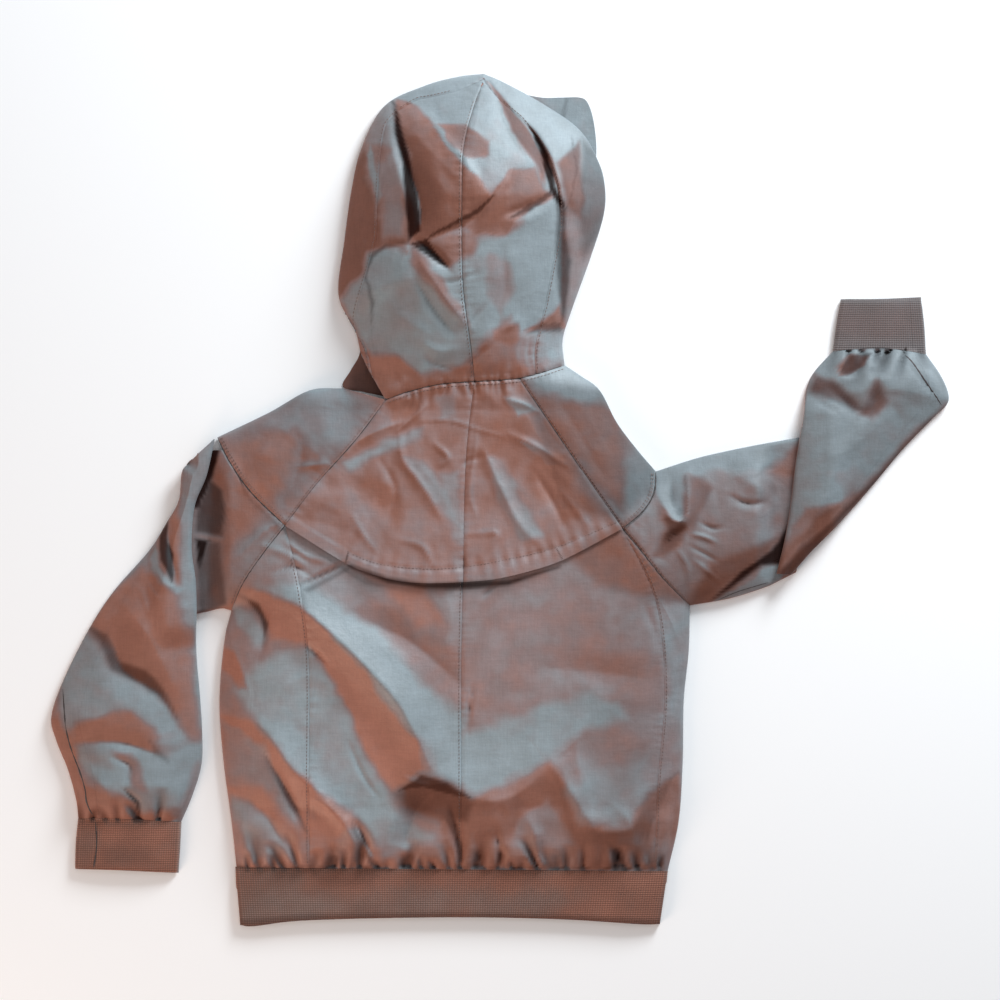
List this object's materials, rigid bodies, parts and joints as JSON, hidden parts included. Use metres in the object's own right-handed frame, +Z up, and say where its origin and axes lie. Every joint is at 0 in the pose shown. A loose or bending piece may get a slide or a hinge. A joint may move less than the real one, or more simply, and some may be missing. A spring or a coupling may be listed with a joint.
{
  "type": "windbreaker jacket",
  "caption": "Child's hooded raglan windbreaker lying flat, back up, with a cape-like back yoke, rib-knit hem and cuffs",
  "frame": {"origin": "on the surface it lies on, under the middle of its outline", "axes": "+X to the jacket's right sleeve as seen from its back, +Y towards the hood, +Z up from the surface"},
  "size_m": [0.8964, 0.8512, 0.0766],
  "materials": {
    "shell_cloth": "light nylon with a satin sheen, brown where it faces one way and blue-grey the other",
    "rib_knit": "fine matt rib knit",
    "zip_tape": "woven tape with moulded teeth",
    "zip_metal": "painted zip slider"
  },
  "bodies": {
    "root": {"hem_rib": "rib_knit", "cuff_left": "rib_knit", "cuff_right": "rib_knit", "side_panel_left": "shell_cloth", "side_panel_right": "shell_cloth", "shoulder_left": "shell_cloth", "shoulder_right": "shell_cloth", "upper_sleeve_left": "shell_cloth", "upper_sleeve_right": "shell_cloth", "lower_sleeve_left": "shell_cloth", "lower_sleeve_right": "shell_cloth", "hood_side_left": "shell_cloth", "hood_side_right": "shell_cloth", "hood_centre_left": "shell_cloth", "hood_centre_right": "shell_cloth", "back_panel_left": "shell_cloth", "back_panel_right": "shell_cloth", "back_yoke_left": "shell_cloth", "back_yoke_right": "shell_cloth", "hood_rim": "shell_cloth", "front_left": "shell_cloth", "front_right": "shell_cloth", "zip_tape": "zip_tape", "zip_slider": "zip_metal"}
  },
  "joints": []
}
